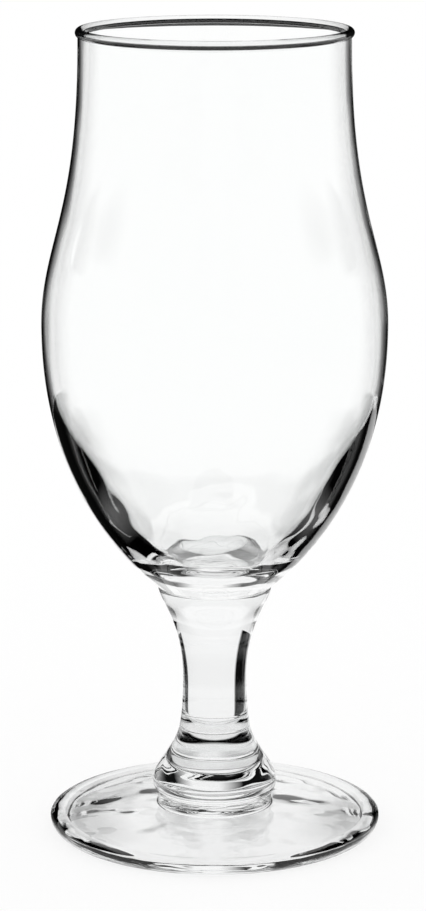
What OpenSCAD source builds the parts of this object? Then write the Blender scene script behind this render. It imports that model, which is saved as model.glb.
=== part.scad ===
// Stemmed beer glass: a blown bowl with a tulip outline on a waisted stem, a collar and a pressed foot.
// Millimetres, +Z up, origin on the table under the axis of the glass.

/* [Bowl] */
// Outer diameter of the wall just under the rim
mouth_d = 67.2; // [56:0.2:80]
// Widest outer diameter of the belly
belly_d = 86.4; // [70:0.2:104]
// Height from the stem's top to the belly's widest line
bowl_low_h = 67.1; // [50:0.1:90]
// Height from the belly's widest line to the top of the rim
bowl_up_h = 74; // [50:0.5:100]
// Wall thickness just under the rim
rim_wall = 1.45; // [1:0.05:3]
// Wall thickness at the belly
belly_wall = 1.6; // [1:0.05:4]
// Height above the stem's top where the wall starts to thicken
turn_h = 32.1; // [24:0.1:44]
// Wall thickness there, measured level
turn_wall = 3.6; // [2:0.1:7]
// Height above the stem's top where the inside turns in to its floor
heel_h = 12.2; // [11:0.1:18]
// Wall thickness there, measured level
heel_wall = 7.1; // [4:0.1:12]
// Thickness of the heavy bottom on the axis
bottom_t = 7.6; // [4:0.1:10]
// How far the melted bead stands out from the wall
bead_out = 0.65; // [0.2:0.05:1.2]
// How far the melted bead stands into the mouth
bead_in = 0.2; // [0.05:0.05:0.6]

/* [Stem] */
// Diameter where the stem is fused to the bowl
stem_top_d = 28.6; // [22:0.2:36]
// Diameter at the waist
stem_waist_d = 16.2; // [10:0.2:17.4]
// Diameter where the stem is fused to the collar
stem_base_d = 18; // [17.6:0.2:22]
// Height from the waist up to the bowl
stem_up_h = 23.9; // [14:0.1:50]
// Height from the waist down to the collar
stem_low_h = 12.6; // [8:0.1:30]

/* [Collar] */
// Diameter where the flare runs into the swelling
flare_d = 27.4; // [24:0.1:29]
// Widest diameter of the swelling
collar_d = 31.6; // [30:0.1:36]
// Height of the flare, from the swelling up to the stem
flare_h = 9.5; // [6:0.1:16]
// Height from the swelling's widest line up to the flare
swell_up_h = 4.7; // [3:0.1:8]
// Height from the foot up to the swelling's widest line
swell_low_h = 2.9; // [1.5:0.1:6]

/* [Foot] */
// Widest diameter of the foot
foot_d = 84.4; // [70:0.2:110]
// Width of the rounded edge, from the widest line in to the fine crease on the top
edge_w = 4; // [2.5:0.1:6]
// Height of the foot's widest line above the table
edge_mid_h = 2.9; // [1.6:0.1:3.2]
// Height of the fine crease on the top above the table
edge_crease_h = 3.8; // [3.4:0.1:5]
// Diameter of the hub that carries the collar
hub_d = 29; // [26:0.2:31]
// Height of the hub's flat top above the table
hub_h = 9.3; // [8:0.1:14]
// Height of the foot's top surface where it meets the hub
hub_root_h = 6; // [5:0.1:6.4]
// Rounding between the top surface and the hub
root_round = 0.6; // [0.3:0.1:1.2]
// How far the flat ring that the glass stands on lies inside the widest line
rest_inset = 2.6; // [2:0.1:6]
// Width of that flat ring
rest_w = 2.1; // [1.5:0.1:6]
// Height of the hollow under the foot on the axis
hollow_h = 3.6; // [1.5:0.1:4]

/* [Fused joints] */
// Rounding of the two glass edges that meet at each fused joint
weld_round = 0.3; // [0.1:0.05:0.5]

/* [Hidden] */

// Pale clear glass
glass_tint = [0.87, 0.91, 0.92, 0.45];

// Points along each curve, degrees between the points of each rounded edge, and sides of each turned piece
curve_steps = 36;
arc_step = 7.5;
turn_sides = 180;

// Heights at which the pieces stand on one another
collar_h = swell_low_h + swell_up_h + flare_h;
stem_h = stem_low_h + stem_up_h;
bowl_h = bowl_low_h + bowl_up_h;
collar_z = hub_h;
stem_z = collar_z + collar_h;
bowl_z = stem_z + stem_h;

// Radii
mouth_r = mouth_d / 2;
belly_r = belly_d / 2;
stem_top_r = stem_top_d / 2;
stem_waist_r = stem_waist_d / 2;
stem_base_r = stem_base_d / 2;
flare_r = flare_d / 2;
collar_r = collar_d / 2;
foot_r = foot_d / 2;
hub_r = hub_d / 2;

// The rim's bead is a round of glass a little thicker than the wall that it closes
mouth_in_r = mouth_r - rim_wall;
bead_r = (rim_wall + bead_out + bead_in) / 2;
bead_mid_r = mouth_r + bead_out - bead_r;
bead_mid_h = bowl_h - bead_r;
bead_out_angle = -acos((mouth_r - bead_mid_r) / bead_r);
bead_in_angle = 180 + acos((bead_mid_r - mouth_in_r) / bead_r);

// How far the bowl's inside leans out at the turn and at the heel, in degrees from upright
turn_lean = 28.9;
heel_lean = 45.6;

// Where the handles of each curve lie, as shares of the rise or the spread of its stretch
base_spread_pull = 0.35;
base_rise_pull = 0.13;
belly_low_pull = 0.57;
belly_up_pull = 0.28;
neck_pull = 0.6;
belly_in_pull = 0.53;
turn_up_pull = 0.32;
turn_low_pull = 0.6;
heel_up_pull = 0.31;
heel_low_pull = 0.9;
floor_pull = 0.5;
waist_up_pull = 0.6;
stem_top_pull = [0.05, 0.13];
waist_low_pull = 0.4;
stem_base_pull = [0.68, 0.2];
swell_base_pull = [0.75, 0.1];
swell_low_pull = 0.55;
swell_up_pull = 0.3;
swell_top_pull = [0.3, 0.2];
flare_low_pull = [0.45, 0.32];
flare_top_pull = [0.16, 0.32];
foot_top_pull = 0.3;
edge_top_pull = [0.3, 0.36];
edge_low_pull = 0.5;
rest_pull = 0.55;
hollow_edge_pull = [0.03, 0.33];
hollow_mid_pull = 0.45;

// A cubic curve from a to d with handles b and c, without its last point
function bend(a, b, c, d) = [
    for (i = [0 : curve_steps - 1])
    let (t = i / curve_steps, s = 1 - t)
    s * s * s * a + 3 * s * s * t * b + 3 * s * t * t * c + t * t * t * d
];

// An arc about a centre between two angles, without its last point
function arc(middle, radius, from, to) =
    let (steps = ceil(abs(to - from) / arc_step))
    [
        for (i = [0 : steps - 1])
        let (angle = from + (to - from) * i / steps)
        middle + radius * [cos(angle), sin(angle)]
    ];

// The rounded edge of a fused face at the foot of a section, running outwards and up
function lower_weld(radius) =
    arc([radius - weld_round, weld_round], weld_round, -90, 0);

// The rounded edge of a fused face at the head of a section, running up and inwards to the axis
function upper_weld(radius, height) = concat(
    arc([radius - weld_round, height - weld_round], weld_round, 0, 90),
    [[radius - weld_round, height], [0, height]]
);

// The outside of the lower bowl, from the fused face up to the belly
function low_outside() =
    let (
        low = [stem_top_r, weld_round],
        belly = [belly_r, bowl_low_h],
        base_out = [(belly_r - stem_top_r) * base_spread_pull, bowl_low_h * base_rise_pull]
    )
    bend(low, low + base_out, belly - [0, belly_low_pull * bowl_low_h], belly);

// The point of the lower bowl's inside at a height, a wall's thickness in from the outside
function low_inside(height, wall) =
    [lookup(height, [for (p = low_outside()) [p[1], p[0]]]) - wall, height];

// The bowl's section, from the fused face up the outside, over the bead and down the inside
function bowl_section() =
    let (
        belly = [belly_r, bowl_low_h],
        bead = [bead_mid_r, bead_mid_h],
        neck = bead + bead_r * [cos(bead_out_angle), sin(bead_out_angle)],
        neck_in = bead + bead_r * [cos(bead_in_angle), sin(bead_in_angle)],
        belly_in = [belly_r - belly_wall, bowl_low_h],
        turn = low_inside(turn_h, turn_wall),
        heel = low_inside(heel_h, heel_wall),
        floor_in = [0, bottom_t],
        up = [0, bowl_up_h],
        thin_h = bowl_low_h - turn_h,
        thick_h = turn_h - heel_h,
        floor_h = heel_h - bottom_t,
        turn_way = [sin(turn_lean), cos(turn_lean)],
        heel_way = [sin(heel_lean), cos(heel_lean)]
    )
    concat(
        [[0, 0]],
        lower_weld(stem_top_r),
        low_outside(),
        bend(belly, belly + belly_up_pull * up, neck - neck_pull * up, neck),
        arc(bead, bead_r, bead_out_angle, bead_in_angle),
        bend(neck_in, neck_in - neck_pull * up, belly_in + belly_up_pull * up, belly_in),
        bend(belly_in, belly_in - [0, belly_in_pull * thin_h], turn + turn_up_pull * thin_h * turn_way, turn),
        bend(turn, turn - turn_low_pull * thick_h * turn_way, heel + heel_up_pull * thick_h * heel_way, heel),
        bend(heel, heel - heel_low_pull * floor_h * heel_way, floor_in + [floor_pull * heel[0], 0], floor_in),
        [floor_in]
    );

// The stem's section, from the collar's face up to the bowl's face
function stem_section() =
    let (
        base = [stem_base_r, weld_round],
        waist = [stem_waist_r, stem_low_h],
        top = [stem_top_r, stem_h - weld_round],
        low = [0, stem_low_h],
        up = [0, stem_up_h],
        base_in = [(stem_waist_r - stem_base_r) * stem_base_pull[0], stem_low_h * stem_base_pull[1]],
        top_in = [(stem_waist_r - stem_top_r) * stem_top_pull[0], -stem_up_h * stem_top_pull[1]]
    )
    concat(
        [[0, 0]],
        lower_weld(stem_base_r),
        bend(base, base + base_in, waist - waist_low_pull * low, waist),
        bend(waist, waist + waist_up_pull * up, top + top_in, top),
        upper_weld(stem_top_r, stem_h)
    );

// The collar's section, from the hub's face over the swelling and the flare to the stem's face
function collar_section() =
    let (
        base = [hub_r, weld_round],
        swell = [collar_r, swell_low_h],
        flare = [flare_r, swell_low_h + swell_up_h],
        top = [stem_base_r, collar_h - weld_round],
        swell_w = collar_r - flare_r,
        flare_w = flare_r - stem_base_r,
        base_out = [(collar_r - hub_r) * swell_base_pull[0], swell_low_h * swell_base_pull[1]],
        flare_out = [swell_w * swell_top_pull[0], -swell_up_h * swell_top_pull[1]],
        flare_in = [-flare_w * flare_low_pull[0], flare_h * flare_low_pull[1]],
        top_out = [flare_w * flare_top_pull[0], -flare_h * flare_top_pull[1]],
        low = [0, swell_low_h],
        up = [0, swell_up_h]
    )
    concat(
        [[0, 0]],
        lower_weld(hub_r),
        bend(base, base + base_out, swell - swell_low_pull * low, swell),
        bend(swell, swell + swell_up_pull * up, flare + flare_out, flare),
        bend(flare, flare + flare_in, top + top_out, top),
        upper_weld(stem_base_r, collar_h)
    );

// The foot's section, from the hub's face down over the top and the edge, then back under the hollow
function foot_section() =
    let (
        root = [hub_r + root_round, hub_root_h],
        edge_in = [foot_r - edge_w, edge_crease_h],
        edge = [foot_r, edge_mid_h],
        edge_up = edge_crease_h - edge_mid_h,
        rest_out = [foot_r - rest_inset, 0],
        rest_in = rest_out - [rest_w, 0],
        hollow = [0, hollow_h],
        top_run = edge_in - root,
        edge_rise = [edge_w * edge_top_pull[0], edge_up * edge_top_pull[1]],
        hollow_rise = [-rest_in[0] * hollow_edge_pull[0], hollow_h * hollow_edge_pull[1]]
    )
    concat(
        [hollow, [0, hub_h]],
        arc([hub_r - weld_round, hub_h - weld_round], weld_round, 90, 0),
        arc(root + [0, root_round], root_round, 180, 270),
        bend(root, root + [foot_top_pull * top_run[0], 0], edge_in - foot_top_pull * top_run, edge_in),
        bend(edge_in, edge_in + edge_rise, edge + [0, edge_up], edge),
        bend(edge, edge - [0, edge_low_pull * edge_mid_h], rest_out + [rest_pull * rest_inset, 0], rest_out),
        [rest_out],
        bend(rest_in, rest_in + hollow_rise, hollow + hollow_mid_pull * [rest_in[0], 0], hollow)
    );

// Blown bowl with its fire-polished rim
module bowl() {
    color(glass_tint)
    translate([0, 0, bowl_z])
    rotate_extrude($fn = turn_sides)
    polygon(bowl_section());
}

// Solid waisted stem
module stem() {
    color(glass_tint)
    translate([0, 0, stem_z])
    rotate_extrude($fn = turn_sides)
    polygon(stem_section());
}

// Swelling ring of glass between the stem and the foot
module collar() {
    color(glass_tint)
    translate([0, 0, collar_z])
    rotate_extrude($fn = turn_sides)
    polygon(collar_section());
}

// Pressed foot with a rounded edge and a hollow underside
module foot() {
    color(glass_tint)
    rotate_extrude($fn = turn_sides)
    polygon(foot_section());
}

bowl();
stem();
collar();
foot();
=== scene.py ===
import math

import bmesh
import bpy
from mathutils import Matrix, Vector, noise


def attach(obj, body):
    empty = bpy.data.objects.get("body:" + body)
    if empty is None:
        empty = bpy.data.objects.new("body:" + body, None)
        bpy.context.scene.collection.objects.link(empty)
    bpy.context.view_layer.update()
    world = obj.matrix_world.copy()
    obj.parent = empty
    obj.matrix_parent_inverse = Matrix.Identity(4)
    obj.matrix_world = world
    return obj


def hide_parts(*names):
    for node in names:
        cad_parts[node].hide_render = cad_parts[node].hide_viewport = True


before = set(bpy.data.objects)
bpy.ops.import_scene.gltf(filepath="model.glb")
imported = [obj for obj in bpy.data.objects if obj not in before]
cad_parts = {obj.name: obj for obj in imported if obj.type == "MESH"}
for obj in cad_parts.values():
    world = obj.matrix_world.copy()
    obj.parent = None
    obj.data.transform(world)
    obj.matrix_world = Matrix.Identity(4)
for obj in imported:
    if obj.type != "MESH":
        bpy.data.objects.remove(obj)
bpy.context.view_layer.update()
mm = 0.001

mostFaces = 32  # light crosses many faces of glass in the stem and foot
mostMirrored = 5  # light reflected more often than this inside the glass is lost in it

scene = bpy.context.scene
scene.view_settings.view_transform = "Standard"
scene.cycles.max_bounces = mostFaces
scene.cycles.transmission_bounces = mostFaces
scene.cycles.glossy_bounces = mostMirrored
scene.cycles.transparent_max_bounces = mostFaces
print("frame loaded:", ", ".join(sorted(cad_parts)))


# Camera

shot = {
    "away": 828.1 * mm,  # from the axis of the glass, along -Y
    "height": 284 * mm,
    "tiltDown": 12.74,  # degrees
    "turnLeft": 0.03,
    "lens": 133.5,  # mm on a 36 mm high frame
    "frameHeight": 36,
    "nearest": 10 * mm,  # nothing closer to the camera is drawn
}


def placeCamera():
    data = bpy.data.cameras.new("photoCamera")
    data.sensor_fit = "VERTICAL"
    data.sensor_height = shot["frameHeight"]
    data.lens = shot["lens"]
    data.clip_start = shot["nearest"]
    camera = bpy.data.objects.new("photoCamera", data)
    camera.location = (0, -shot["away"], shot["height"])
    camera.rotation_euler = (math.radians(90 - shot["tiltDown"]), 0, math.radians(shot["turnLeft"]))
    scene.collection.objects.link(camera)
    scene.camera = camera


placeCamera()
print("camera placed")


# Turning: every piece is made on a lathe from the section of its CAD solid

lathe = {
    "sides": 160,
    "step": 1.0 * mm,  # longest stretch of section between two rings
    "crispTurn": 16,  # degrees; a sharper turn of the section stays a crisp line
    "seamReach": 0.001 * mm,
    "weldFade": 7 * mm,  # the waver of the glass dies away over this height at a fused joint
}


def sectionOf(node):
    # the CAD solid is turned too, so the seam on its +X side is the section
    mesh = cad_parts[node].data
    reach = lathe["seamReach"]
    seam = {}
    place = {}
    for vertex in mesh.vertices:
        if abs(vertex.co.y) < reach and vertex.co.x > -reach:
            seam[vertex.index] = (round(vertex.co.x / reach), round(vertex.co.z / reach))
            place[seam[vertex.index]] = (max(vertex.co.x, 0), vertex.co.z)
    links = {}
    for edge in mesh.edges:
        a, b = (seam.get(i) for i in edge.vertices)
        if a and b and a != b:
            links.setdefault(a, []).append(b)
            links.setdefault(b, []).append(a)
    ends = [spot for spot in links if len(set(links[spot])) == 1]
    path = [max(ends)]  # from a fused joint, outside first
    while True:
        onward = [spot for spot in links[path[-1]] if spot not in path[-2:]]
        if not onward:
            return [place[spot] for spot in path]
        path.append(onward[0])


def turnAt(path, i):
    # degrees; the two ends of the section count as full turns
    if i == 0 or i == len(path) - 1:
        return 180
    before = Vector(path[i]) - Vector(path[i - 1])
    after = Vector(path[i + 1]) - Vector(path[i])
    return math.degrees(before.angle(after))


def smoothSection(path):
    # gives (radius, height, crisp) along a smooth curve through the CAD points
    crisp = [turnAt(path, i) > lathe["crispTurn"] for i in range(len(path))]
    points = []
    for i in range(len(path) - 1):
        b, c = Vector(path[i]), Vector(path[i + 1])
        a = 2 * b - c if crisp[i] else Vector(path[i - 1])
        d = 2 * c - b if crisp[i + 1] else Vector(path[i + 2])
        steps = math.ceil((c - b).length / lathe["step"])
        for s in range(steps):
            t = s / steps
            point = 0.5 * (2 * b + (c - a) * t + (2 * a - 5 * b + 4 * c - d) * t ** 2
                           + (3 * b - a - 3 * c + d) * t ** 3)
            points.append((max(point.x, 0), point.y, crisp[i] and s == 0))
    points.append((path[-1][0], path[-1][1], True))
    return points


def wavered(radius, height, angle, look, still, side):
    # hot glass never sets quite round: a slow waver of the radius, none at the joints and the table
    size = look["waverSize"]
    rise = min(abs(height - level) for level in still)
    ease = min(rise / lathe["weldFade"], 1) ** 2 * min(radius / lathe["weldFade"], 1)
    spot = Vector((radius * math.cos(angle) / size, radius * math.sin(angle) / size, height / size + side))
    return radius + look["waver"] * ease * noise.noise(spot)


def turnPiece(name, node, look, materials):
    path = sectionOf(node)
    points = smoothSection(path)
    reach = lathe["seamReach"]
    sides = lathe["sides"]
    still = [z for r, z in (path[0], path[-1]) if r > reach] + [0]
    crest = max(range(len(points)), key=lambda i: points[i][1])
    if path[0][0] > reach:
        points.insert(0, (0, path[0][1], False))
    if path[-1][0] > reach:
        points.append((0, path[-1][1], False))
    form = bmesh.new()
    rings = []
    for index, (radius, height, crisp) in enumerate(points):
        if radius < reach:
            rings.append([form.verts.new((0, 0, height))])
            continue
        side = look["waverApart"] if index > crest else 0
        ring = []
        for k in range(sides):
            angle = 2 * math.pi * k / sides
            r = wavered(radius, height, angle, look, still, side)
            ring.append(form.verts.new((r * math.cos(angle), r * math.sin(angle), height)))
        rings.append(ring)
    for index in range(len(rings) - 1):
        low, high = rings[index], rings[index + 1]
        level = abs(points[index][1] - points[index + 1][1]) < reach
        flat = level and len(low) + len(high) == sides + 1  # the disc inside a fused joint
        for k in range(sides):
            n = (k + 1) % sides
            corners = [low[k % len(low)], low[n % len(low)], high[n % len(high)], high[k % len(high)]]
            face = form.faces.new(list(dict.fromkeys(corners)))
            face.smooth = True
            face.material_index = 1 if flat else 0  # the second material is the fused face
    bmesh.ops.recalc_face_normals(form, faces=form.faces)
    for ring, (radius, height, crisp) in zip(rings, points):
        if crisp and len(ring) > 1:
            for k in range(sides):
                form.edges.get((ring[k], ring[(k + 1) % sides])).smooth = False
    mesh = bpy.data.meshes.new(name)
    form.to_mesh(mesh)
    form.free()
    for material in materials:
        mesh.materials.append(material)
    piece = bpy.data.objects.new(name, mesh)
    scene.collection.objects.link(piece)
    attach(piece, "root")
    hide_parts(node)
    print(name, "turned:", len(mesh.vertices), "points")


# Finishes of glass, shared as node groups

finish = {
    "rippleDetail": 1,
    "rippleRoughness": 0.35,
    "noiseMiddle": 0.5,
    "filmDetail": 5,
    "filmStart": 0.52,  # where the noise is lower the glass is clean
    "filmFull": 0.8,
    "meltDetail": 2,
    "ior": 1.52,
}


def newGroup(name, inputs, outputs):
    group = bpy.data.node_groups.new(name, "ShaderNodeTree")
    for label, kind, value in inputs:
        socket = group.interface.new_socket(label, in_out="INPUT", socket_type=kind)
        socket.default_value = value
    for label, kind in outputs:
        group.interface.new_socket(label, in_out="OUTPUT", socket_type=kind)
    return group, group.nodes.new("NodeGroupInput"), group.nodes.new("NodeGroupOutput")


def rippleGroup():
    # slow optical ripple left by the mould and the blowpipe, as a height;
    # from the level Thick up to the level Thin it falls off to the share Rest
    group, given, out = newGroup(
        "glassRipple",
        [("Scale", "NodeSocketFloat", 40), ("Upright", "NodeSocketFloat", 0.5),
         ("Thick", "NodeSocketFloat", 0), ("Thin", "NodeSocketFloat", 1), ("Rest", "NodeSocketFloat", 1)],
        [("Height", "NodeSocketFloat")],
    )
    nodes, links = group.nodes, group.links
    place = nodes.new("ShaderNodeTexCoord")
    stretch = nodes.new("ShaderNodeCombineXYZ")
    stretch.inputs["X"].default_value = 1
    stretch.inputs["Y"].default_value = 1
    scaled = nodes.new("ShaderNodeVectorMath")
    scaled.operation = "MULTIPLY"
    wave = nodes.new("ShaderNodeTexNoise")
    wave.inputs["Detail"].default_value = finish["rippleDetail"]
    wave.inputs["Roughness"].default_value = finish["rippleRoughness"]
    links.new(given.outputs["Upright"], stretch.inputs["Z"])
    links.new(place.outputs["Object"], scaled.inputs[0])
    links.new(stretch.outputs[0], scaled.inputs[1])
    links.new(scaled.outputs[0], wave.inputs["Vector"])
    links.new(given.outputs["Scale"], wave.inputs["Scale"])
    level = nodes.new("ShaderNodeSeparateXYZ")
    share = nodes.new("ShaderNodeMapRange")
    share.interpolation_type = "SMOOTHSTEP"
    share.inputs["To Min"].default_value = 1
    middle = nodes.new("ShaderNodeMath")
    middle.operation = "SUBTRACT"
    middle.inputs[1].default_value = finish["noiseMiddle"]
    eased = nodes.new("ShaderNodeMath")
    eased.operation = "MULTIPLY"
    links.new(place.outputs["Object"], level.inputs[0])
    links.new(level.outputs["Z"], share.inputs["Value"])
    links.new(given.outputs["Thick"], share.inputs["From Min"])
    links.new(given.outputs["Thin"], share.inputs["From Max"])
    links.new(given.outputs["Rest"], share.inputs["To Max"])
    links.new(wave.outputs[0], middle.inputs[0])
    links.new(middle.outputs[0], eased.inputs[0])
    links.new(share.outputs["Result"], eased.inputs[1])
    links.new(eased.outputs[0], out.inputs["Height"])
    return group


def filmGroup():
    # the faint film of rinsing and handling, as a roughness
    group, given, out = newGroup(
        "handledFilm",
        [("Clean", "NodeSocketFloat", 0.002), ("Film", "NodeSocketFloat", 0.02),
         ("Scale", "NodeSocketFloat", 60)],
        [("Roughness", "NodeSocketFloat")],
    )
    nodes, links = group.nodes, group.links
    place = nodes.new("ShaderNodeTexCoord")
    cloud = nodes.new("ShaderNodeTexNoise")
    cloud.inputs["Detail"].default_value = finish["filmDetail"]
    patches = nodes.new("ShaderNodeMapRange")
    patches.inputs["From Min"].default_value = finish["filmStart"]
    patches.inputs["From Max"].default_value = finish["filmFull"]
    links.new(place.outputs["Object"], cloud.inputs["Vector"])
    links.new(given.outputs["Scale"], cloud.inputs["Scale"])
    links.new(cloud.outputs[0], patches.inputs["Value"])
    links.new(given.outputs["Clean"], patches.inputs["To Min"])
    links.new(given.outputs["Film"], patches.inputs["To Max"])
    links.new(patches.outputs["Result"], out.inputs["Roughness"])
    return group


def tintGroup():
    # soda-lime glass is not quite white, and the melt is not quite even; the greyer tints of the stem,
    # collar and foot go deeper than the glass's own, painted shade
    group, given, out = newGroup(
        "meltTintAndShade",
        [("Clear", "NodeSocketColor", (1, 1, 1, 1)), ("Deep", "NodeSocketColor", (1, 1, 1, 1)),
         ("Scale", "NodeSocketFloat", 25)],
        [("Color", "NodeSocketColor")],
    )
    nodes, links = group.nodes, group.links
    place = nodes.new("ShaderNodeTexCoord")
    melt = nodes.new("ShaderNodeTexNoise")
    melt.inputs["Detail"].default_value = finish["meltDetail"]
    blend = nodes.new("ShaderNodeMix")
    blend.data_type = "RGBA"  # its colours are inputs 6 and 7, and output 2
    links.new(place.outputs["Object"], melt.inputs["Vector"])
    links.new(given.outputs["Scale"], melt.inputs["Scale"])
    links.new(melt.outputs[0], blend.inputs["Factor"])
    links.new(given.outputs["Clear"], blend.inputs[6])
    links.new(given.outputs["Deep"], blend.inputs[7])
    links.new(blend.outputs[2], out.inputs["Color"])
    return group


ripple = rippleGroup()
film = filmGroup()
tint = tintGroup()


def placeGroup(material, group, values):
    node = material.node_tree.nodes.new("ShaderNodeGroup")
    node.node_tree = group
    for label, value in values.items():
        node.inputs[label].default_value = value
    return node


def glassMaterial(name, look):
    material = bpy.data.materials.new(name)
    material.use_nodes = True
    nodes, links = material.node_tree.nodes, material.node_tree.links
    shader = nodes["Principled BSDF"]
    shader.inputs["Transmission Weight"].default_value = 1
    shader.inputs["IOR"].default_value = finish["ior"]
    colour = placeGroup(material, tint, look["tint"])
    marks = placeGroup(material, film, look["film"])
    waves = placeGroup(material, ripple, look["ripple"])
    bump = nodes.new("ShaderNodeBump")
    bump.inputs["Distance"].default_value = look["rippleHeight"]
    links.new(colour.outputs["Color"], shader.inputs["Base Color"])
    links.new(marks.outputs["Roughness"], shader.inputs["Roughness"])
    links.new(waves.outputs["Height"], bump.inputs["Height"])
    links.new(bump.outputs["Normal"], shader.inputs["Normal"])
    return material


def fusedFace():
    # the faces inside a fused joint can't be seen in the real glass
    material = bpy.data.materials.new("fusedFace")
    material.use_nodes = True
    material.node_tree.nodes["Principled BSDF"].inputs["Alpha"].default_value = 0
    return material


fused = fusedFace()
print("finishes made")


# The four pieces

bowlLook = {
    "waver": 0.05 * mm,
    "waverSize": 26 * mm,
    "waverApart": 7.3,  # the inside wavers by itself
    "tint": {"Clear": (0.995, 0.998, 0.997, 1), "Deep": (0.985, 0.993, 0.99, 1), "Scale": 25},
    "film": {"Clean": 0.0, "Film": 0.015, "Scale": 70},
    "ripple": {"Scale": 110, "Upright": 0.6, "Thick": 82 * mm, "Thin": 108 * mm, "Rest": 0.25},
    "rippleHeight": 0.28 * mm,
}
turnPiece("glassBowl", "bowl", bowlLook, [glassMaterial("blownGlass", bowlLook), fused])

stemLook = {
    "waver": 0.06 * mm,
    "waverSize": 12 * mm,
    "waverApart": 0,
    # greyer than the glass itself: painted shade darkening what is seen through the stem
    "tint": {"Clear": (0.965, 0.97, 0.97, 1), "Deep": (0.93, 0.937, 0.937, 1), "Scale": 40},
    "film": {"Clean": 0.0, "Film": 0.02, "Scale": 110},
    "ripple": {"Scale": 90, "Upright": 0.5},
    "rippleHeight": 0.02 * mm,
}
turnPiece("glassStem", "stem", stemLook, [glassMaterial("drawnGlass", stemLook), fused])

collarLook = {
    "waver": 0.05 * mm,
    "waverSize": 10 * mm,
    "waverApart": 0,
    # greyer than the glass itself: painted shade darkening what is seen through the collar
    "tint": {"Clear": (0.965, 0.97, 0.97, 1), "Deep": (0.93, 0.937, 0.937, 1), "Scale": 40},
    "film": {"Clean": 0.0, "Film": 0.02, "Scale": 110},
    "ripple": {"Scale": 120, "Upright": 0.7},
    "rippleHeight": 0.02 * mm,
}
turnPiece("glassCollar", "collar", collarLook, [glassMaterial("collarGlass", collarLook), fused])

footLook = {
    "waver": 0.2 * mm,
    "waverSize": 9 * mm,
    "waverApart": 0,
    # greyer than the glass itself: painted shade darkening what is seen through the foot
    "tint": {"Clear": (0.965, 0.97, 0.97, 1), "Deep": (0.93, 0.937, 0.937, 1), "Scale": 40},
    "film": {"Clean": 0.0, "Film": 0.03, "Scale": 90},
    "ripple": {"Scale": 90, "Upright": 1.0},
    "rippleHeight": 0.75 * mm,
}
turnPiece("glassFoot", "foot", footLook, [glassMaterial("pressedGlass", footLook), fused])
print("four pieces in place")


# White table and studio

table = {
    "size": 10.0,  # metres
    "gap": 0.2 * mm,  # under the ring that the glass stands on
    "paint": 0.2,  # share of white that the studio light gives it, the rest is its own glow
}


def seenRays(nodes, links):
    # 1 for camera, glossy and transmission rays
    path = nodes.new("ShaderNodeLightPath")
    first = nodes.new("ShaderNodeMath")
    first.operation = "MAXIMUM"
    second = nodes.new("ShaderNodeMath")
    second.operation = "MAXIMUM"
    links.new(path.outputs["Is Camera Ray"], first.inputs[0])
    links.new(path.outputs["Is Glossy Ray"], first.inputs[1])
    links.new(first.outputs[0], second.inputs[0])
    links.new(path.outputs["Is Transmission Ray"], second.inputs[1])
    return second.outputs[0]


def tableMaterial():
    material = bpy.data.materials.new("whiteTable")
    material.use_nodes = True
    nodes, links = material.node_tree.nodes, material.node_tree.links
    shader = nodes["Principled BSDF"]
    share = table["paint"]
    shader.inputs["Base Color"].default_value = (share, share, share, 1)
    shader.inputs["Roughness"].default_value = 1
    shader.inputs["Specular IOR Level"].default_value = 0
    shader.inputs["Emission Color"].default_value = (1, 1, 1, 1)
    glow = nodes.new("ShaderNodeMath")
    glow.operation = "MULTIPLY"
    glow.inputs[1].default_value = 1 - share
    links.new(seenRays(nodes, links), glow.inputs[0])
    links.new(glow.outputs[0], shader.inputs["Emission Strength"])
    return material


def layTable():
    half = table["size"] / 2
    mesh = bpy.data.meshes.new("whiteTable")
    corners = [(-half, -half), (half, -half), (half, half), (-half, half)]
    mesh.from_pydata([(x, y, -table["gap"]) for x, y in corners], [], [(0, 1, 2, 3)])
    mesh.materials.append(tableMaterial())
    obj = bpy.data.objects.new("whiteTable", mesh)
    scene.collection.objects.link(obj)


# Black cards round the glass and dark paper under its foot draw its dark lines; the paper is painted
# shadow of the glass on the table, seen through the glass

cardLook = {
    "black": 0.01,
    "lift": 0.3 * mm,  # added to every height in the rows below
    "stepTurn": 3,  # degrees between two points of a strip, about
    "leastSteps": 4,
    "slack": 0.25,  # for counts of faces and reflections, which are whole numbers
}
# each kind is met by rays that have crossed from the first to the second number of faces of glass
cardKinds = {
    "darkFence": {"faces": (0, 2), "mirrors": False},
    "blackCard": {"faces": (0, 0), "mirrors": True},
    # the dark paper is painted shadow on the table under the foot and the hub
    "darkPaper": {"faces": (0, mostFaces), "mirrors": True},
    "darkHeader": {"faces": (3, 4), "mirrors": False},
    "darkHalo": {"faces": (1, 2), "mirrors": True},
}
# the level of the painted shadow under the foot and the hub
paintedShadowLevel = -0.4  # mm; with the lift it is between the table and the foot

# spans are degrees round the glass from straight behind it, and fade is how softly a card thins out
# at its outer and its inner end; rows are (distance in mm, height in mm, cover)
sideCards = {
    "apron": {
        "kind": "blackCard", "left": (-68, -22), "right": (39, 66), "fade": (16, 2),
        "rows": [(62, 0, 1), (400, 0, 1)],
    },
    "wing": {
        "kind": "blackCard", "left": (-102, -56), "right": (54, 99), "fade": (24, 6),
        "rows": [(110, 0, 0), (150, 0, 1), (230, 0, 1), (320, 0, 0)],
    },
    "fence": {
        "kind": "darkFence", "left": (-66, -22), "right": (39, 68), "fade": (14, 2),
        "rows": [(45, 0, 1), (45, 60, 1)],
    },
    # painted shadow: a grey ring on the table under the foot, in place of the glass's contact shadow
    "mat": {
        "kind": "darkPaper", "left": (-142, -66), "right": (62, 138), "fade": (34, 26),
        "rows": [(21, paintedShadowLevel, 0), (31, paintedShadowLevel, 0.38), (37, paintedShadowLevel, 0.38), (41, paintedShadowLevel, 0)],
    },
    "edge": {
        "kind": "blackCard", "left": (-52, -3), "right": (9, 52), "fade": (26, 9),
        "rows": [(402, 0, 1), (402, 172, 1)],
    },
}
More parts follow.
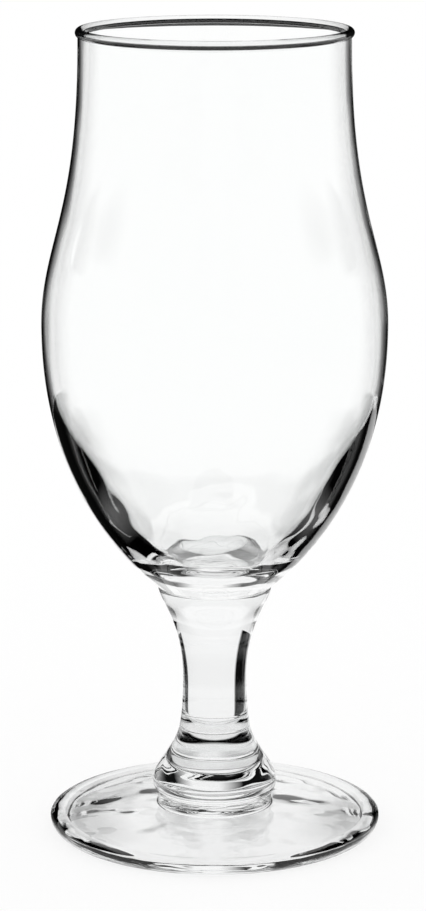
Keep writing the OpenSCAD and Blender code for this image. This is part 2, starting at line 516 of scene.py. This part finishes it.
middleCards = {
    "darkHeader": {  # high behind the glass
        "kind": "darkHeader", "span": (-40, 40), "fade": None,
        "rows": [(404, 172, 1), (404, 500, 1)],
    },
    "blackScreen": {  # round the sides and the front of the stem
        "kind": "blackCard", "span": (62, 298), "fade": (8, 8),
        "rows": [(45.5, 9, 0), (45.5, 17, 1), (45.5, 44, 1), (45.5, 68, 0)],
    },
    "darkHalo": {  # all round the rim
        "kind": "darkHalo", "span": (0, 360), "fade": None,
        "rows": [(46, 199.8, 1), (46, 330, 1)],
    },
    "hubMat": {  # painted shade on the table under the back of the hub
        "kind": "darkPaper", "span": (-60, 60), "fade": (22, 22),
        "rows": [(11, paintedShadowLevel, 0), (12.2, paintedShadowLevel, 1), (15.8, paintedShadowLevel, 1), (17, paintedShadowLevel, 0)],
    },
}


def glassRays(nodes, links, faces, mirrors):
    # 1 for rays that have crossed from the least to the most faces of glass, with mirrors also for every
    # reflected ray and without for none; 0 for the rest, which see the white studio as the camera does
    least, most = faces
    path = nodes.new("ShaderNodeLightPath")
    few = nodes.new("ShaderNodeMath")
    few.operation = "COMPARE"
    few.inputs[1].default_value = (least + most) / 2
    few.inputs[2].default_value = (most - least) / 2 + cardLook["slack"]
    links.new(path.outputs["Transmission Depth"], few.inputs[0])
    mirrored = nodes.new("ShaderNodeMath")
    mirrored.operation = "GREATER_THAN"
    mirrored.inputs[1].default_value = cardLook["slack"]
    links.new(path.outputs["Glossy Depth"], mirrored.inputs[0])
    both = nodes.new("ShaderNodeMath")
    both.operation = "MAXIMUM" if mirrors else "SUBTRACT"
    both.use_clamp = True
    links.new(few.outputs[0], both.inputs[0])
    links.new(mirrored.outputs[0], both.inputs[1])
    return both.outputs[0]


def cardMaterial(name, faces, mirrors):
    material = bpy.data.materials.new(name)
    material.use_nodes = True
    nodes, links = material.node_tree.nodes, material.node_tree.links
    shader = nodes["Principled BSDF"]
    black = cardLook["black"]
    shader.inputs["Base Color"].default_value = (black, black, black, 1)
    shader.inputs["Roughness"].default_value = 1
    shader.inputs["Specular IOR Level"].default_value = 0
    cover = nodes.new("ShaderNodeAttribute")
    cover.attribute_name = "cover"
    thinned = nodes.new("ShaderNodeMath")
    thinned.operation = "MULTIPLY"
    links.new(glassRays(nodes, links, faces, mirrors), thinned.inputs[0])
    links.new(cover.outputs["Fac"], thinned.inputs[1])
    links.new(thinned.outputs[0], shader.inputs["Alpha"])
    return material


def hangCard(name, look, span, material):
    # a strip bent round the glass
    rows = look["rows"]
    fade = look["fade"]
    width = span[1] - span[0]
    steps = max(cardLook["leastSteps"], round(width / cardLook["stepTurn"]))
    turns = [span[0] + width * k / steps for k in range(steps + 1)]
    inner, outer = sorted(span, key=abs)
    spots = []
    covers = []
    for away, height, cover in rows:
        radius = away * mm
        level = height * mm + cardLook["lift"]
        for turn in turns:
            angle = math.radians(turn)
            spots.append((radius * math.sin(angle), radius * math.cos(angle), level))
            thin = min(abs(outer - turn) / fade[0], abs(inner - turn) / fade[1], 1) if fade else 1
            covers.append(cover * thin)
    wide = steps + 1
    faces = [(r * wide + k, r * wide + k + 1, (r + 1) * wide + k + 1, (r + 1) * wide + k)
             for r in range(len(rows) - 1) for k in range(steps)]
    mesh = bpy.data.meshes.new(name)
    mesh.from_pydata(spots, [], faces)
    mesh.attributes.new("cover", "FLOAT", "POINT").data.foreach_set("value", covers)
    mesh.materials.append(material)
    card = bpy.data.objects.new(name, mesh)
    card.visible_camera = False
    card.visible_diffuse = False
    card.visible_shadow = False
    scene.collection.objects.link(card)


def hangCards():
    stock = {}
    for name, kind in cardKinds.items():
        stock[name] = cardMaterial(name, kind["faces"], kind["mirrors"])
    for name, look in sideCards.items():
        for side in ("left", "right"):
            hangCard(side + name.capitalize(), look, look[side], stock[look["kind"]])
    for name, look in middleCards.items():
        hangCard(name, look, look["span"], stock[look["kind"]])


def studioWorld():
    world = bpy.data.worlds.new("studio")
    scene.world = world
    world.use_nodes = True
    ground = world.node_tree.nodes["Background"]
    ground.inputs["Color"].default_value = (1, 1, 1, 1)
    ground.inputs["Strength"].default_value = 1


hangCards()
layTable()
studioWorld()
print("studio lit")
